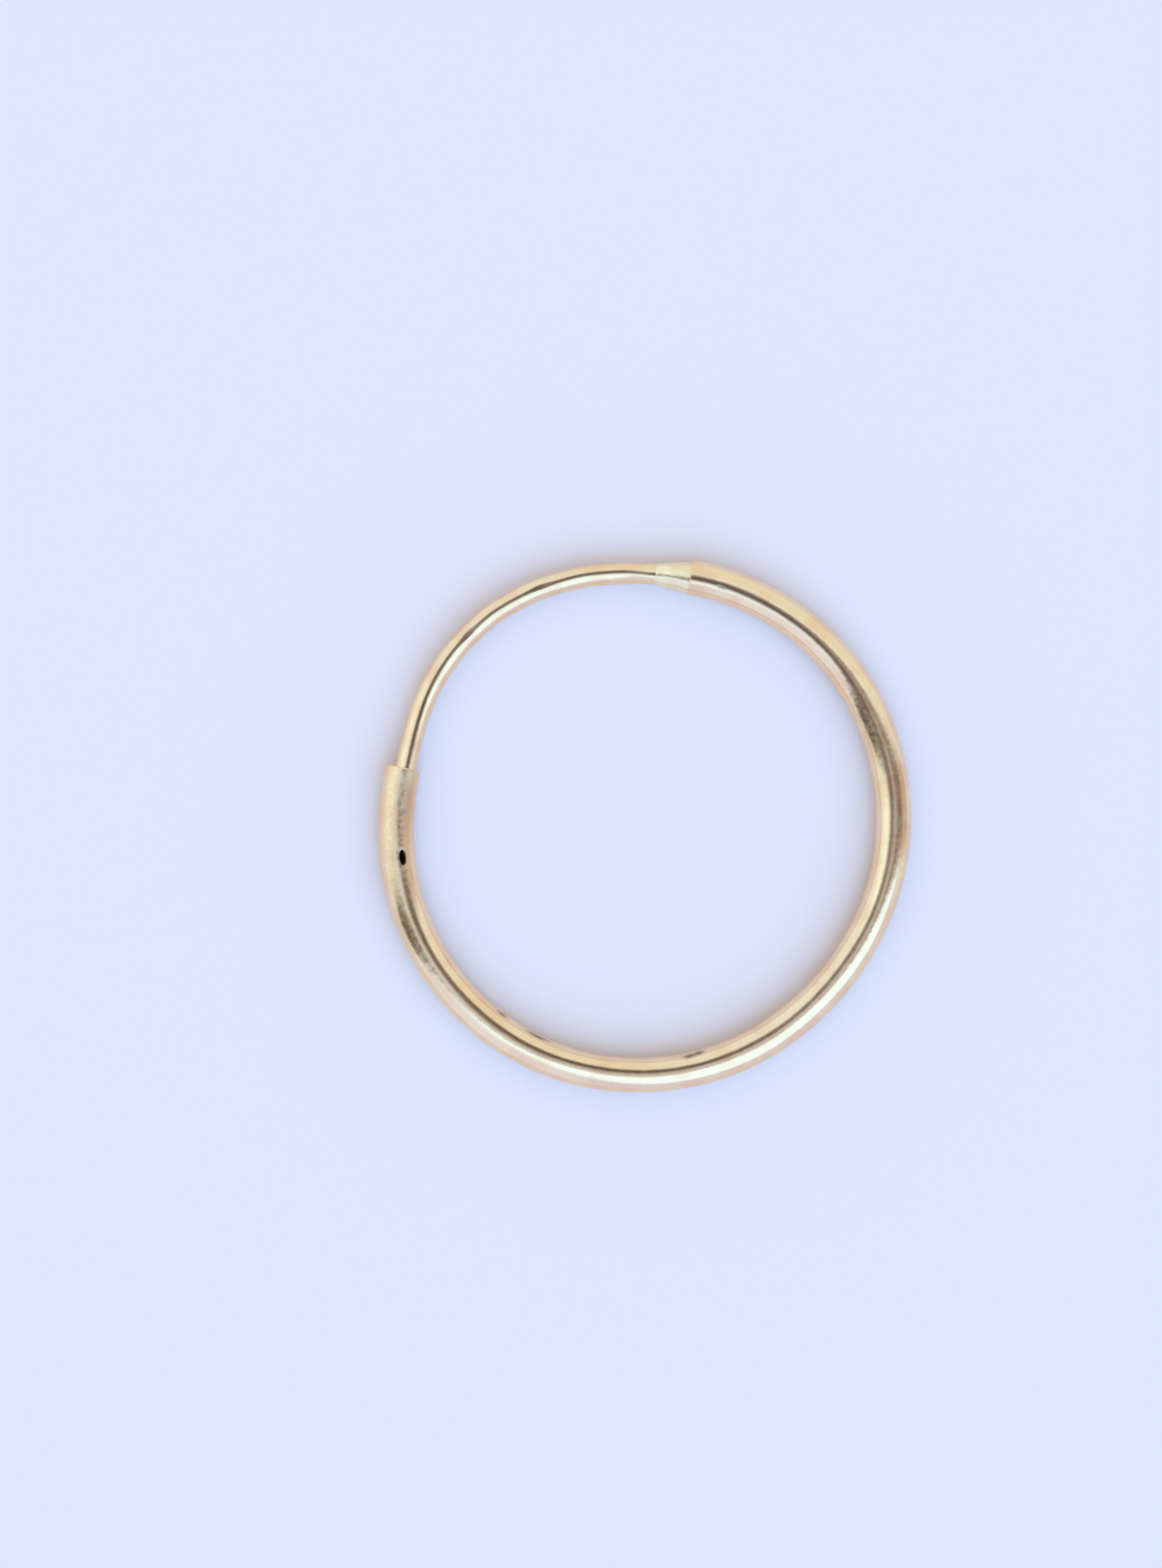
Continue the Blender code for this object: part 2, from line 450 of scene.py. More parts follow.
def register(piece: bpy.types.Object, material: bpy.types.Material) -> None:
    """Dresses a piece, rides it on the hoop's body and lets it stand for the CAD node.

    Args:
        piece: the object of the tube, the collar or the wire.
        material: its finish.
    """
    piece.data.materials.append(material)
    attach(piece, BODY)
    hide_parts(NODE)
    log.info("%s: %d faces", piece.name, len(piece.data.polygons))


def dips(spots: Sequence[Spot], line: CentreLine, angles: Floats, turns: Floats) -> Floats:
    """Depth and painted shade of the spots at each point of a surface.

    Each spot is exp(-(x/half_length)^2 - (y/half_width)^2), with x along the line and y round
    the section, times its depth, and times its painted shade.

    Args:
        spots: the dips.
        line: the line that the surface follows.
        angles: degrees round the hoop.
        turns: degrees round the section.

    Returns:
        Depth in metres and painted shade from 0 to 1, stacked in a first axis.
    """
    total = np.zeros((2, *angles.shape))
    for spot in spots:
        away = signed_turn(angles - spot.angle_deg)
        x = np.radians(away) * line.radius / spot.half_length
        across = signed_turn(turns - spot.turn_deg)
        y = np.radians(across) * line.tube_radius / spot.half_width
        bell = np.exp(-(x**2) - y**2)
        total += np.stack([bell * spot.depth, bell * spot.tarnish_and_painted_shade])
    return total


@dataclass(frozen=True)
class GoldFinish:
    """Yellow gold of about 14 carat, worked and then polished.

    Its mirror is what gives the hoop its look: it takes the room's colours and warms them. What
    breaks the mirror is fine wear, faint lines along the drawn metal, tarnish inside, and painted
    shade on a few spots.
    """

    name: str
    colour: str
    # of the tarnish in the bore, and of the painted shade on the spots
    warm_colour: str  # of patches that are polished less
    tarnish_and_painted_shade_colour: str
    roughness: tuple[float, float]  # between the scuffs, and on them
    tarnish_roughness: float = 0.35  # that a full mask of tarnish and painted shade adds
    worn_roughness: float = 0.26  # that full wear adds on its scuffs
    least_worn_share: float = 0.5  # of that, between them
    patch_mm: float = 0.9  # of the warmer patches
    patch_levels: tuple[float, float] = (0.4, 0.65)  # of the noise, where a patch starts, is full
    scuff_mm: float = 0.12  # of the faint scuffs
    scuff_levels: tuple[float, float] = (0.35, 0.7)  # the same, for a scuff
    worn_levels: tuple[float, float] = (0.3, 0.55)  # the same, for a scuff of the worn metal
    ripple_mm: float = 0.28  # between the soft ripples that polishing leaves
    ripple_depth: float = 0.000004
    line_mm: float = 0.05  # between the drawing lines, drawn coarser than the real 0.01 mm
    line_run_mm: float = 4.0  # that a drawing line goes on for
    line_depth: float = 0.0000003

    def material(self) -> bpy.types.Material:
        """Builds the node tree: a metal with its colour, its roughness and its relief.

        Returns:
            The material.
        """
        material = bpy.data.materials.new(self.name)
        material.use_nodes = True
        tree = material.node_tree
        shader = tree.nodes["Principled BSDF"]
        shader.inputs["Metallic"].default_value = 1.0
        place = add_node(tree, "ShaderNodeTexCoord").outputs["Object"]
        tarnish_and_painted_shade = add_node(
            tree, "ShaderNodeAttribute", attribute_name=TARNISH_AND_PAINTED_SHADE
        ).outputs["Fac"]
        tree.links.new(self.tint(tree, place, tarnish_and_painted_shade), shader.inputs["Base Color"])
        tree.links.new(self.dullness(tree, place, tarnish_and_painted_shade), shader.inputs["Roughness"])
        tree.links.new(self.relief(tree, place), shader.inputs["Normal"])
        return material

    def tint(
        self, tree: bpy.types.NodeTree, place: bpy.types.NodeSocket, tarnish_and_painted_shade: bpy.types.NodeSocket
    ) -> bpy.types.NodeSocket:
        """Mixes the gold with warmer patches, and then with the tarnish and the painted shade.

        Args:
            tree: the material's node tree.
            place: the point on the piece, in metres.
            tarnish_and_painted_shade: its tarnish and painted shade, 0 to 1.

        Returns:
            The socket with the colour.
        """
        patches = add_node(
            tree,
            "ShaderNodeTexNoise",
            {"Vector": place, "Scale": MM_PER_METRE / self.patch_mm, "Detail": 3.0},
        ).outputs["Fac"]
        patch_share = add_node(
            tree,
            "ShaderNodeMapRange",
            {
                "Value": patches,
                "From Min": self.patch_levels[0],
                "From Max": self.patch_levels[1],
            },
            interpolation_type="SMOOTHSTEP",
        ).outputs["Result"]
        gold = add_node(
            tree,
            "ShaderNodeMix",
            {
                "Factor": patch_share,
                6: linear_colour(self.colour),
                7: linear_colour(self.warm_colour),
            },
            data_type="RGBA",
        ).outputs[2]
        return add_node(
            tree,
            "ShaderNodeMix",
            {"Factor": tarnish_and_painted_shade, 6: gold, 7: linear_colour(self.tarnish_and_painted_shade_colour)},
            data_type="RGBA",
        ).outputs[2]

    def dullness(
        self, tree: bpy.types.NodeTree, place: bpy.types.NodeSocket, tarnish_and_painted_shade: bpy.types.NodeSocket
    ) -> bpy.types.NodeSocket:
        """Works out the roughness from the scuffs, the tarnish and painted shade, and the wear.

        It is polish + tarnish_roughness * tarnish + wear * rubbed, where the scuffs give polish
        and rubbed, each between its two values.

        Args:
            tree: the material's node tree.
            place: the point on the piece, in metres.
            tarnish_and_painted_shade: its tarnish and painted shade, 0 to 1.

        Returns:
            The socket with the roughness.
        """
        scuffs = add_node(
            tree,
            "ShaderNodeTexNoise",
            {
                "Vector": place,
                "Scale": MM_PER_METRE / self.scuff_mm,
                "Detail": 5.0,
                "Roughness": 0.6,
            },
        ).outputs["Fac"]
        polish = add_node(
            tree,
            "ShaderNodeMapRange",
            {
                "Value": scuffs,
                "From Min": self.scuff_levels[0],
                "From Max": self.scuff_levels[1],
                "To Min": self.roughness[0],
                "To Max": self.roughness[1],
            },
        ).outputs["Result"]
        rough = add_node(
            tree,
            "ShaderNodeMath",
            {0: tarnish_and_painted_shade, 1: self.tarnish_roughness, 2: polish},
            operation="MULTIPLY_ADD",
        ).outputs[0]
        wear = add_node(tree, "ShaderNodeAttribute", attribute_name=WEAR).outputs["Fac"]
        rubbed = add_node(
            tree,
            "ShaderNodeMapRange",
            {
                "Value": scuffs,
                "From Min": self.worn_levels[0],
                "From Max": self.worn_levels[1],
                "To Min": self.least_worn_share * self.worn_roughness,
                "To Max": self.worn_roughness,
            },
        ).outputs["Result"]
        return add_node(
            tree,
            "ShaderNodeMath",
            {0: wear, 1: rubbed, 2: rough},
            operation="MULTIPLY_ADD",
        ).outputs[0]

    def relief(
        self, tree: bpy.types.NodeTree, place: bpy.types.NodeSocket
    ) -> bpy.types.NodeSocket:
        """Adds the soft ripples of the polish, and on them the fine lines of the drawing.

        Args:
            tree: the material's node tree.
            place: the point on the piece, in metres.

        Returns:
            The socket with the normal.
        """
        along = add_node(tree, "ShaderNodeUVMap", uv_map=UV_NAME).outputs["UV"]
        ripples = add_node(
            tree,
            "ShaderNodeTexNoise",
            {"Vector": place, "Scale": MM_PER_METRE / self.ripple_mm, "Detail": 2.0},
        ).outputs["Fac"]
        ripple = add_node(
            tree,
            "ShaderNodeBump",
            {"Height": ripples, "Distance": self.ripple_depth, "Strength": 1.0},
        ).outputs["Normal"]
        stretched = add_node(
            tree,
            "ShaderNodeMapping",
            {"Vector": along, "Scale": (1.0 / self.line_run_mm, 1.0 / self.line_mm, 1.0)},
        ).outputs["Vector"]
        lines = add_node(
            tree, "ShaderNodeTexNoise", {"Vector": stretched, "Scale": 1.0, "Detail": 2.0}
        ).outputs["Fac"]
        return add_node(
            tree,
            "ShaderNodeBump",
            {
                "Height": lines,
                "Distance": self.line_depth,
                "Strength": 1.0,
                "Normal": ripple,
            },
        ).outputs["Normal"]


# Drawn and mandrel-bent tube, polished on a wheel: a clear mirror with soft ripples
POLISHED_TUBE = GoldFinish(
    "polished_gold_tube", "#FBDDB2", "#F7D1A6", "#6E4A34", roughness=(0.07, 0.15)
)
# Drawn wire, bent by hand and polished: as bright, a little warmer, with flats from the pliers
DRAWN_WIRE = GoldFinish(
    "drawn_gold_wire",
    "#FADAAC",
    "#F6CDA2",
    "#6E4A34",
    roughness=(0.06, 0.13),
    ripple_mm=0.4,
)
# Hard gold solder, melted and cooled in the air: paler, softly lumpy and less bright
GOLD_SOLDER = GoldFinish(
    "melted_gold_solder",
    "#FBE8BE",
    "#F7DFB2",
    "#8A7A4E",
    roughness=(0.14, 0.26),
    ripple_mm=0.16,
    line_depth=0.0,
)


@dataclass
class HoopTube:
    """The thin hollow tube, from its open mouth to the end that is filled with solder.

    One skin runs from a pole at the solder's inner face, back along the bore, round the mouth's
    rounded lip and along the outside to a pole at the joint. The vent hole goes through both
    walls of that skin.
    """

    radius: float = TUBE_RADIUS
    bore_radius: float = 0.0004
    solder_depth: float = 0.0008  # of bore that the solder fills
    shoulder: float = 0.00002  # radius of the edge at the joint
    shoulder_rings: int = 4
    sides: int = 96
    lip_rings: int = 9
    fine_run: float = 0.0034  # of tube after the mouth that has closer rings
    fine_step: float = 0.00003  # between those
    outer_step: float = 0.00008  # between the other rings outside
    bore_step: float = 0.0003  # between the other rings in the bore
    vent_from_mouth: float = 0.00255  # to the hole's middle
    vent_length: float = 0.00045
    vent_width: float = 0.0002
    vent_turn_deg: float = 110.0
    vent_half_rings: int = 8
    vent_half_sides: int = 3
    vent_reach: float = 2.6  # half vents over which the rings spread round the hole
    vent_sink: float = 0.000010  # of the worn edge of the hole
    vent_sink_reach: float = 0.35  # half vents over which that fades
    wave: float = 0.0000035  # that the wall strays from round
    waves: tuple[Wave, ...] = WALL_WAVES
    bore_tarnish: float = 0.85
    spots: tuple[Spot, ...] = TUBE_SPOTS
    worn: tuple[Wear, ...] = TUBE_WEAR
    finish: GoldFinish = POLISHED_TUBE

    def vent_place(self, line: CentreLine) -> tuple[float, float]:
        """The angle of the vent hole's middle, and half the angle that the hole spans."""
        middle = line.mouth_deg + line.along(self.vent_from_mouth)
        return middle, line.along(self.vent_length / 2.0)

    def stations(self, line: CentreLine, step: float, end_deg: float) -> Floats:
        """Spaces the rings, close together by the mouth and exact round the vent hole.

        Args:
            line: the line that the tube follows.
            step: metres between two rings past the fine run.
            end_deg: where the last ring lies.

        Returns:
            The rings' angles in degrees, from the lip on.
        """
        start = line.mouth_deg + line.along(self.lip_radius())
        vent, half = self.vent_place(line)
        fine_end = line.mouth_deg + line.along(self.fine_run)
        fine = line.along(self.fine_step)
        before = np.linspace(start, vent - half, math.ceil((vent - half - start) / fine))
        hole = np.linspace(vent - half, vent + half, 2 * self.vent_half_rings + 1)
        after = np.linspace(vent + half, fine_end, math.ceil((fine_end - vent - half) / fine))
        rest = np.linspace(fine_end, end_deg, math.ceil((end_deg - fine_end) / line.along(step)))
        return np.concatenate([before, hole[1:], after[1:], rest[1:]])

    def lip_radius(self) -> float:
        """Half the wall, by which the mouth's lip is rounded."""
        return (self.radius - self.bore_radius) / 2.0

    def spread_for_vent(self, line: CentreLine, angles: Floats, turns: Floats) -> Floats:
        """Moves the grid round the vent hole so that its rectangle becomes an oval.

        With p the place in half lengths and half widths of the hole, and s the greater of |x|
        and |y|, p moves to p * s / |p|, which takes the square s = 1 to the circle s = 1. The
        move fades from s = 1 to vent_reach.

        Args:
            line: the line that the tube follows.
            angles: degrees round the hoop.
            turns: degrees round the section.

        Returns:
            The new angles, the new turns and s, stacked in a first axis.
        """
        vent, half_angle = self.vent_place(line)
        grid_turn = self.vent_half_sides * FULL_TURN / self.sides
        half_turn = math.degrees(self.vent_width / 2.0 / self.radius)
        x = (angles - vent) / half_angle
        y = (turns - self.vent_turn_deg) / grid_turn
        size = np.maximum(np.maximum(np.abs(x), np.abs(y)), TINY)
        far = np.maximum(np.hypot(x, y), TINY)
        held = 1.0 - smooth((size - 1.0) / (self.vent_reach - 1.0))
        pull = 1.0 + held * (size / far - 1.0)
        narrow = 1.0 + held * (half_turn / grid_turn - 1.0)
        new_angles = vent + x * pull * half_angle
        new_turns = self.vent_turn_deg + y * pull * narrow * grid_turn
        return np.stack([new_angles, new_turns, size])

    def profile(self, line: CentreLine) -> tuple[Floats, Floats, int, int]:
        """Lays out the section along the tube: the bore, the lip, the outside and the edge.

        The lip is a half circle, r = middle of the wall - lip * cos(v) at 1 - sin(v) lips from
        the mouth, and the edge at the joint is a quarter of one.

        Args:
            line: the line that the tube follows.

        Returns:
            The rings' angles in degrees, their radii in metres, how many rings the bore has,
            and how many the lip has.
        """
        bore_end = line.joint_deg - line.along(self.solder_depth)
        shoulder_start = line.joint_deg - line.along(self.shoulder)
        bore = self.stations(line, self.bore_step, bore_end)[::-1]
        outer = self.stations(line, self.outer_step, shoulder_start)
        lip = self.lip_radius()
        arc = np.linspace(0.0, math.pi, self.lip_rings + 2)[1:-1]
        lip_angles = line.mouth_deg + line.along(1.0) * lip * (1.0 - np.sin(arc))
        lip_radii = (self.radius + self.bore_radius) / 2.0 - lip * np.cos(arc)
        bend = np.linspace(0.0, math.pi / 2.0, self.shoulder_rings + 1)[1:]
        edge_angles = shoulder_start + line.along(self.shoulder) * np.sin(bend)
        edge_radii = self.radius - self.shoulder * (1.0 - np.cos(bend))
        angles = np.concatenate([bore, lip_angles, outer, edge_angles])
        radii = np.concatenate(
            [
                np.full(len(bore), self.bore_radius),
                lip_radii,
                np.full(len(outer), self.radius),
                edge_radii,
            ]
        )
        return angles, radii, len(bore), len(lip_angles)

    def shell(self, line: CentreLine) -> tuple[Shell, int, int]:
        """Carries the profile round the section, with the vent hole, the dips and the wear.

        The wall strays from round by wave times the sum over the waves of share * sin(m t + n a),
        with t the turn, a the angle and m and n the counts round and along, so that the mirror's
        edges waver as on a hand-polished tube.

        Args:
            line: the line that the tube follows.

        Returns:
            The shell, how many rings the bore has, and how many the lip has.
        """
        angles, radii, bore_rings, lip_rings = self.profile(line)
        turns = self.vent_turn_deg + (np.arange(self.sides) - self.sides // 2) * (
            FULL_TURN / self.sides
        )
        shape = (len(angles), self.sides)
        grid_angles, grid_turns, size = self.spread_for_vent(
            line, np.broadcast_to(angles[:, None], shape), np.broadcast_to(turns, shape)
        )
        depth, marks = dips(self.spots, line, grid_angles, grid_turns)
        a, t = np.radians(grid_angles), np.radians(grid_turns)
        wave = self.wave * sum(
            row.share * np.sin(row.round_count * t + row.along_count * a) for row in self.waves
        )
        sink = self.vent_sink * np.exp(-(((size - 1.0) / self.vent_sink_reach) ** 2))
        outside = np.arange(len(angles)) >= bore_rings
        grid_radii = radii[:, None] + wave - depth - np.where(outside[:, None], sink, 0.0)
        tarnish_and_painted_shade = np.where(outside[:, None], marks, self.bore_tarnish)
        rows = np.array(self.worn)
        wear = np.interp(grid_angles, rows[:, 0], rows[:, 1])
        shell = Shell(grid_angles, grid_turns, grid_radii, np.zeros(shape), tarnish_and_painted_shade, wear)
        return shell, bore_rings, lip_rings

    def vent_loop(self, first: int, last: int, low: int, high: int) -> Wholes:
        """Walks round the edge of a block of the grid, for one rim of the vent hole.

        Args:
            first: the ring where the walk starts.
            last: the ring at the far side, before or after the first.
            low: the block's lowest side.
            high: its highest side.

        Returns:
            The numbers of the points on the way, each once.
        """
        step = 1 if last > first else -1
        down = np.arange(first, last, step)
        across = np.arange(low, high)
        rings = np.concatenate(
            [down, np.full(len(across), last), down[::-1] + step, np.full(len(across), first)]
        )
        places = np.concatenate(
            [np.full(len(down), low), across, np.full(len(down), high), across[::-1] + 1]
        )
        return rings * self.sides + places

    def build(self, line: CentreLine) -> bpy.types.Object:
        """Makes the tube, with the vent hole cut through and its wall closed.

        Args:
            line: the line that the tube follows.

        Returns:
            The tube's object.
        """
        shell, bore_rings, lip_rings = self.shell(line)
        quads, triangles = shell.faces()
        vent, half = self.vent_place(line)
        outer = self.stations(line, self.outer_step, line.joint_deg)
        start = int(np.argmin(np.abs(outer - (vent - half))))
        span = 2 * self.vent_half_rings
        low = self.sides // 2 - self.vent_half_sides
        high = self.sides // 2 + self.vent_half_sides
        first = bore_rings + lip_rings + start
        inner = bore_rings - 1 - start
        keep = np.ones(quads.shape[:2], dtype=bool)
        keep[first : first + span, low:high] = False
        keep[inner - span : inner, low:high] = False
        upper = self.vent_loop(first, first + span, low, high)
        lower = self.vent_loop(inner, inner - span, low, high)
        wall = np.stack([upper, np.roll(upper, -1), np.roll(lower, -1), lower], axis=-1)
        return make_piece(
            "hoop_tube", line, shell, np.concatenate([quads[keep], wall]), triangles
        )


@dataclass
class SolderCollar:
    """The short cone of solder between the tube's end and the ear wire."""

    length: float = SOLDER_LENGTH
    overlap: float = 0.0002  # sunk into the tube's end
    sunk_radius: float = 0.00042  # at its end inside the tube's
    top_radius: float = 0.000465  # where it leaves the tube
    wire_radius: float = WIRE_RADIUS
    sag: float = 0.00004  # by which the solder ran inward at the joint
    sag_fade: float = 0.7  # share of the sag that is gone at the wire
    lump: float = 0.000008  # that the melted surface strays from round
    lump_count: int = 3  # of lumps in a turn round the section
    lump_twist: float = 7.0  # radians that they turn through over the length
    sides: int = 72
    rings: int = 60
    blur_rings: int = 2  # to either side, over which the cone's corners are averaged
    cone: tuple[Narrowing, ...] = SOLDER_CONE
    finish: GoldFinish = GOLD_SOLDER

    def build(self, line: CentreLine) -> bpy.types.Object:
        """Makes the collar: a cone through the table's rows, with soft lumps.

        At share s of the length the radius is top + (wire - top) * cone(s), and the lumps add
        lump * sin(count * t + twist * s) * sin(pi s), with t the turn round the section. The
        last rows fall fast, as the solder's bead does. The sag is sag * (1 - sag_fade * s).

        Args:
            line: the line that the collar follows.

        Returns:
            The collar's object.
        """
        share = np.linspace(0.0, 1.0, self.rings)
        rows = np.array(self.cone)
        narrowed = np.interp(share, rows[:, 0], rows[:, 1])
        window = 2 * self.blur_rings + 1
        padded = np.pad(narrowed, self.blur_rings, mode="edge")
        narrowed = np.convolve(padded, np.full(window, 1.0 / window), "valid")
        radii = self.top_radius + (self.wire_radius - self.top_radius) * narrowed
        start = line.joint_deg - line.along(self.overlap)
        span = line.along(self.length)
        angles = np.concatenate([[start], line.joint_deg + span * share])
        radii = np.concatenate([[self.sunk_radius], radii])
        share = np.concatenate([[0.0], share])
        shape = (len(angles), self.sides)
        turns = np.broadcast_to(np.arange(self.sides) * FULL_TURN / self.sides, shape)
        wide = np.broadcast_to(angles[:, None], shape)
        lumps = np.sin(self.lump_count * np.radians(turns) + self.lump_twist * share[:, None])
        lumps = self.lump * lumps * np.sin(math.pi * share)[:, None]
        inset = np.broadcast_to(self.sag * (1.0 - self.sag_fade * share)[:, None], shape)
        clean = np.zeros(shape)
        shell = Shell(wide, turns, radii[:, None] + lumps, inset, clean, clean)
        return make_piece("solder_collar", line, shell, *shell.faces())


@dataclass
class EarWire:
    """The thinner wire that goes through the ear, from the solder to its tip in the bore."""

    radius: float = WIRE_RADIUS
    sunk: float = 0.0003  # of wire inside the solder
    solder_length: float = SOLDER_LENGTH
    plug_length: float = 0.0020  # of wire inside the tube's mouth
    clearance: float = 0.0001  # between the wire and the bore
    seat_share: float = 0.6  # of the clearance, by which the wire sits inward in the mouth
    seat_run: float = 0.0032  # of wire before the mouth, over which it moves inward
    tip_length: float = 0.00012
    tip_share: float = 0.6  # of the radius, at the very tip
    sides: int = 64
    step: float = 0.00005  # between two rings
    tip_rings: int = 8
    spots: tuple[Spot, ...] = WIRE_SPOTS
    straights: tuple[Straight, ...] = WIRE_STRAIGHTS
    straightened: float = 0.55  # share of the way from the curve to its chord
    corner_deg: float = 1.0  # to either side, over which the corners between them are rounded
    corner_samples: int = 11
    flat: float = 0.115  # share of the radius by which the section is pressed oval
    flat_turn_deg: float = 117.0
    flat_rise_deg: float = 7.0  # of the hoop, from the solder on
    flat_fall_deg: float = 30.0  # of the hoop, up to the mouth
    finish: GoldFinish = DRAWN_WIRE

    def inset(self, line: CentreLine, angles: Floats) -> Floats:
        """How far inward of the line the wire runs.

        It grows softly to seat_share * clearance over the last seat_run before the mouth. Over
        a straight stretch of half angle h about its middle it adds a share of the rise of the
        arc above its chord, R h^2 / 2 * (1 - (x / h)^2), averaged over corner_deg to either
        side to round the corners.

        Args:
            line: the line that the wire follows.
            angles: degrees round the hoop, rings by sides.

        Returns:
            Metres, of the same shape.
        """
        start = line.mouth_deg + FULL_TURN - line.along(self.seat_run)
        share = smooth((angles - start) / line.along(self.seat_run))
        total = self.seat_share * self.clearance * share
        around = np.linspace(-self.corner_deg, self.corner_deg, self.corner_samples)
        around = around[:, None, None]
        for row in self.straights:
            half = (row.end_deg - row.start_deg) / 2.0
            x = (angles + around - (row.start_deg + half)) / half
            rise = line.radius * math.radians(half) ** 2 / 2.0 * np.clip(1.0 - x**2, 0.0, 1.0)
            total = total + self.straightened * rise.mean(axis=0)
        return total

    def build(self, line: CentreLine) -> bpy.types.Object:
        """Makes the wire, with a rounded tip that narrows by a quarter arc.

        Where it is bare its section is r (1 - flat * (cos 2(t - flat_turn) - cos 2 flat_turn)),
        flatter at that turn, so that its bright streak is broad. Its width stays 2 r. The
        depths of the dips come off the radius.

        Args:
            line: the line that the wire follows.

        Returns:
            The wire's object.
        """
        start = line.joint_deg + line.along(self.solder_length - self.sunk)
        mouth = line.mouth_deg + FULL_TURN
        end = mouth + line.along(self.plug_length)
        shoulder = end - line.along(self.tip_length)
        count = math.ceil((shoulder - start) / line.along(self.step))
        straight = np.linspace(start, shoulder, count)
        arc = np.linspace(0.0, math.pi / 2.0, self.tip_rings)[1:]
        tip_angles = shoulder + (end - shoulder) * np.sin(arc)
        narrow = 1.0 - (1.0 - self.tip_share) * (1.0 - np.cos(arc))
        angles = np.concatenate([straight, tip_angles])
        radii = np.concatenate([np.full(count, self.radius), self.radius * narrow])
        shape = (len(angles), self.sides)
        wide = np.broadcast_to(angles[:, None], shape)
        turns = np.broadcast_to(np.arange(self.sides) * FULL_TURN / self.sides, shape)
        depth, marks = dips(self.spots, line, wide, turns)
        rise = smooth((angles - start - line.along(self.sunk)) / self.flat_rise_deg)
        fall = smooth((mouth - angles) / self.flat_fall_deg)
        bare = (rise * fall)[:, None]
        level = math.cos(2.0 * math.radians(self.flat_turn_deg))
        pressed = np.cos(2.0 * np.radians(turns - self.flat_turn_deg)) - level
        depth = depth + self.flat * self.radius * bare * pressed
        inset = self.inset(line, wide)
        shell = Shell(wide, turns, radii[:, None] - depth, inset, marks, np.zeros(shape))
        return make_piece("ear_wire", line, shell, *shell.faces())


class CardShape(Enum):
    """The outline of a card or a soft light in the surroundings."""

    BOX = "box"
    OVAL = "oval"


@dataclass(frozen=True)
class Card:
    """A soft light or a dark thing round the hoop, as its mirror-bright metal sees it.

    It lies in a plane at unit distance, square to the direction that its azimuth and zenith
    angle give, and its sizes and offsets there are in that unit. Softness is the share of the
    half size over which the edge fades, to either side.
    """

    shape: CardShape
    azimuth_deg: float
    zenith_deg: float
    half_across: float
    half_down: float
    softness: float
    colour: str
    strength: float = 1.0
    off_across: float = 0.0
    off_down: float = 0.0

    def axes(self) -> tuple[Vector, Vector, Vector]:
        """Finds the card's own axes from its azimuth and zenith angle.

        Returns:
            Unit vectors across the card, down it away from the zenith, and to its centre.
        """
        azimuth, zenith = math.radians(self.azimuth_deg), math.radians(self.zenith_deg)
        flat = Vector((math.cos(azimuth), math.sin(azimuth), 0.0))
        up = Vector((0.0, 0.0, 1.0))
        across = Vector((-math.sin(azimuth), math.cos(azimuth), 0.0))
        down = flat * math.cos(zenith) - up * math.sin(zenith)
        return across, down, flat * math.sin(zenith) + up * math.cos(zenith)

    def mask(
        self, tree: bpy.types.NodeTree, ray: bpy.types.NodeSocket
    ) -> bpy.types.NodeSocket:
        """Adds the nodes that are 1 on the card and 0 off it.

        With a ray d and the card's axes, u = (d.across / d.centre - off_across) / half_across
        and v the same downwards. How far a ray passes from the middle is max(|u|, |v|) on a
        box and hypot(u, v) on an oval.

        Args:
            tree: the world's node tree.
            ray: the direction that is looked up.

        Returns:
            The socket with the mask.
        """
        across, down, centre = self.axes()
        dots = [
            add_node(
                tree, "ShaderNodeVectorMath", {0: ray, 1: axis}, operation="DOT_PRODUCT"
            ).outputs["Value"]
            for axis in (across / self.half_across, down / self.half_down, centre)
        ]
        ahead = add_node(
            tree, "ShaderNodeMath", {0: dots[2], 1: LEAST_AHEAD}, operation="MAXIMUM"
        ).outputs[0]
        middles = (self.off_across / self.half_across, self.off_down / self.half_down)
        places = []
        for dot, middle in zip(dots[:2], middles):
            hit = add_node(
                tree, "ShaderNodeMath", {0: dot, 1: ahead}, operation="DIVIDE"
            ).outputs[0]
            place = add_node(
                tree, "ShaderNodeMath", {0: hit, 1: middle}, operation="SUBTRACT"
            ).outputs[0]
            places.append(place)
        u, v = places
        if self.shape is CardShape.BOX:
            u, v = (
                add_node(tree, "ShaderNodeMath", {0: side}, operation="ABSOLUTE").outputs[0]
                for side in (u, v)
            )
            away = add_node(
                tree, "ShaderNodeMath", {0: u, 1: v}, operation="MAXIMUM"
            ).outputs[0]
        else:
            both = add_node(tree, "ShaderNodeCombineXYZ", {0: u, 1: v}).outputs[0]
            away = add_node(
                tree, "ShaderNodeVectorMath", {0: both}, operation="LENGTH"
            ).outputs["Value"]
        return add_node(
            tree,
            "ShaderNodeMapRange",
            {
                "Value": away,
                "From Min": 1.0 - self.softness,
                "From Max": 1.0 + self.softness,
                "To Min": 1.0,
                "To Max": 0.0,
            },
            interpolation_type="SMOOTHSTEP",
        ).outputs["Result"]


